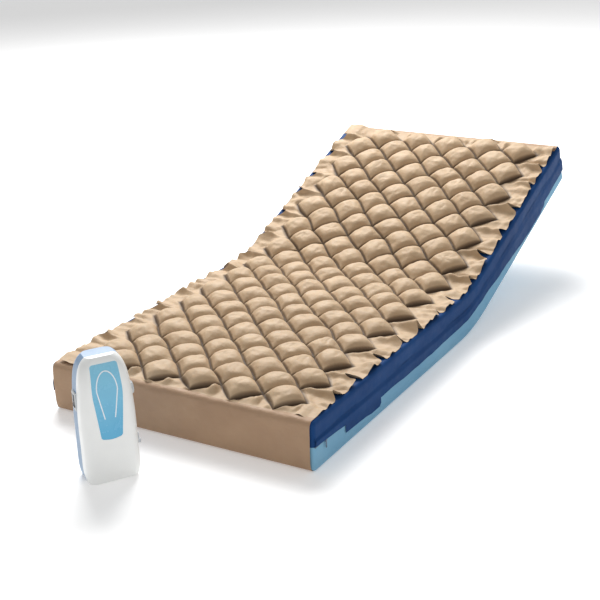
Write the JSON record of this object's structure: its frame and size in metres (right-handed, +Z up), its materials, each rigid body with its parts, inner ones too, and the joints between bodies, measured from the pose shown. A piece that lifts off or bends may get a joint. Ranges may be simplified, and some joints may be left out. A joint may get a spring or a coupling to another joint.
{
  "type": "pressure relief mattress",
  "caption": "Pressure relief mattress: zipped two-tone foam mattress with its back section raised, an alternating-pressure bubble pad on top, and a free-standing air pump.",
  "frame": {"origin": "centre of the flat base section's underside", "axes": "+X across the bed, +Y from the foot end to the head end, +Z up"},
  "size_m": [0.9144, 2.2809, 0.4706],
  "materials": {
    "cover_dark": "coated stretch fabric, satin",
    "cover_light": "coated fabric, satin",
    "foam_firm": "open-cell foam",
    "foam_soft": "open-cell foam",
    "zip_plastic": "moulded",
    "zip_metal": "plated",
    "pad_film": "soft PVC film, satin",
    "case_white": "moulded, satin gloss",
    "case_blue_grey": "moulded, fine grain",
    "panel_blue": "gloss film",
    "panel_mark": "gloss",
    "control_black": "moulded",
    "control_grey": "moulded",
    "rubber_black": "moulded",
    "steel": "plated",
    "core_steel": "laminated",
    "copper": "wound wire",
    "board_green": "circuit board",
    "tube_clear": "soft tube"
  },
  "bodies": {
    "mattress_base": {"support_foam_base": "foam_firm", "comfort_foam_base": "foam_soft", "top_cover_base": "cover_dark", "bottom_cover_base": "cover_light", "storm_flap_base": "cover_dark", "zip_chain_base": "zip_plastic", "label_pocket": "cover_dark", "bubble_pad_base": "pad_film", "foot_flap": "pad_film", "air_inlets": "pad_film"},
    "mattress_back": {"support_foam_back": "foam_firm", "comfort_foam_back": "foam_soft", "top_cover_back": "cover_dark", "bottom_cover_back": "cover_light", "storm_flap_back": "cover_dark", "zip_chain_back": "zip_plastic", "bubble_pad_back": "pad_film", "head_flap": "pad_film"},
    "pump": {"pump_front_case": "case_white", "pump_panel": "panel_blue", "panel_arch": "panel_mark", "pump_rear_case": "case_blue_grey", "case_screws": "steel", "pump_feet": "rubber_black", "switch_housing": "control_grey", "dial_plate": "control_grey", "air_outlets": "control_grey", "fuse_cap": "control_black", "mains_gland": "control_black", "filter_cover": "case_blue_grey", "hanger_pins": "steel", "rubber_mounts": "rubber_black", "chassis": "steel", "laminated_core": "core_steel", "coil": "copper", "valve_box_left": "control_black", "valve_box_right": "control_black", "diaphragms": "rubber_black", "distributor": "control_grey", "distributor_motor": "steel", "inner_tubes": "tube_clear", "circuit_board": "board_green"},
    "zip_slider": {"zip_slider": "zip_metal"},
    "power_rocker": {"power_rocker": "control_black"},
    "pressure_dial": {"pressure_dial": "control_grey"},
    "hanger_left": {"hanger_left": "control_grey"},
    "hanger_right": {"hanger_right": "control_grey"},
    "armature_left": {"armature_left": "steel"},
    "armature_right": {"armature_right": "steel"},
    "valve_rotor": {"valve_rotor": "control_black"}
  },
  "joints": [
    {"name": "back_raise", "type": "hinge", "parent": "mattress_base", "child": "mattress_back", "pos_m": [0, 0.53, 0.152], "axis": [1, 0, 0], "range_deg": [-19.4, 45]},
    {"name": "pump_lift", "type": "slide", "parent": "mattress_base", "child": "pump", "axis": [0, 0, 1], "range_m": [0, 0.3]},
    {"name": "zip_run", "type": "slide", "parent": "mattress_base", "child": "zip_slider", "axis": [0, 1, 0], "range_m": [0, 0.9]},
    {"name": "power_switch", "type": "hinge", "parent": "pump", "child": "power_rocker", "pos_m": [-0.0953, -0.8263, 0.232], "axis": [-0.829, 0.5592, 0], "range_deg": [-16, 0]},
    {"name": "pressure_set", "type": "hinge", "parent": "pump", "child": "pressure_dial", "pos_m": [-0.01975, -0.70356, 0.232], "axis": [0.5592, 0.829, 0], "range_deg": [-135, 135]},
    {"name": "hanger_left_swing", "type": "hinge", "parent": "pump", "child": "hanger_left", "pos_m": [-0.11942, -0.77264, 0.295], "axis": [0, 0, 1], "range_deg": [0, 90]},
    {"name": "hanger_right_swing", "type": "hinge", "parent": "pump", "child": "hanger_right", "pos_m": [-0.07692, -0.70963, 0.295], "axis": [0, 0, 1], "range_deg": [-90, 0]},
    {"name": "armature_left_swing", "type": "hinge", "parent": "pump", "child": "armature_left", "pos_m": [-0.07131, -0.80146, 0.032], "axis": [-0.829, 0.5592, 0], "range_deg": [-2, 2], "stiffness_Nm_per_rad": 1},
    {"name": "armature_right_swing", "type": "hinge", "parent": "pump", "child": "armature_right", "pos_m": [-0.03217, -0.74343, 0.032], "axis": [-0.829, 0.5592, 0], "range_deg": [-2, 2], "stiffness_Nm_per_rad": 1},
    {"name": "distributor_turn", "type": "hinge", "parent": "pump", "child": "valve_rotor", "pos_m": [-0.06335, -0.76462, 0.18], "axis": [-0.829, 0.5592, 0], "continuous": true}
  ],
  "couplings": [
    {"joint": "armature_right_swing", "follows": "armature_left_swing", "ratio": -1}
  ]
}
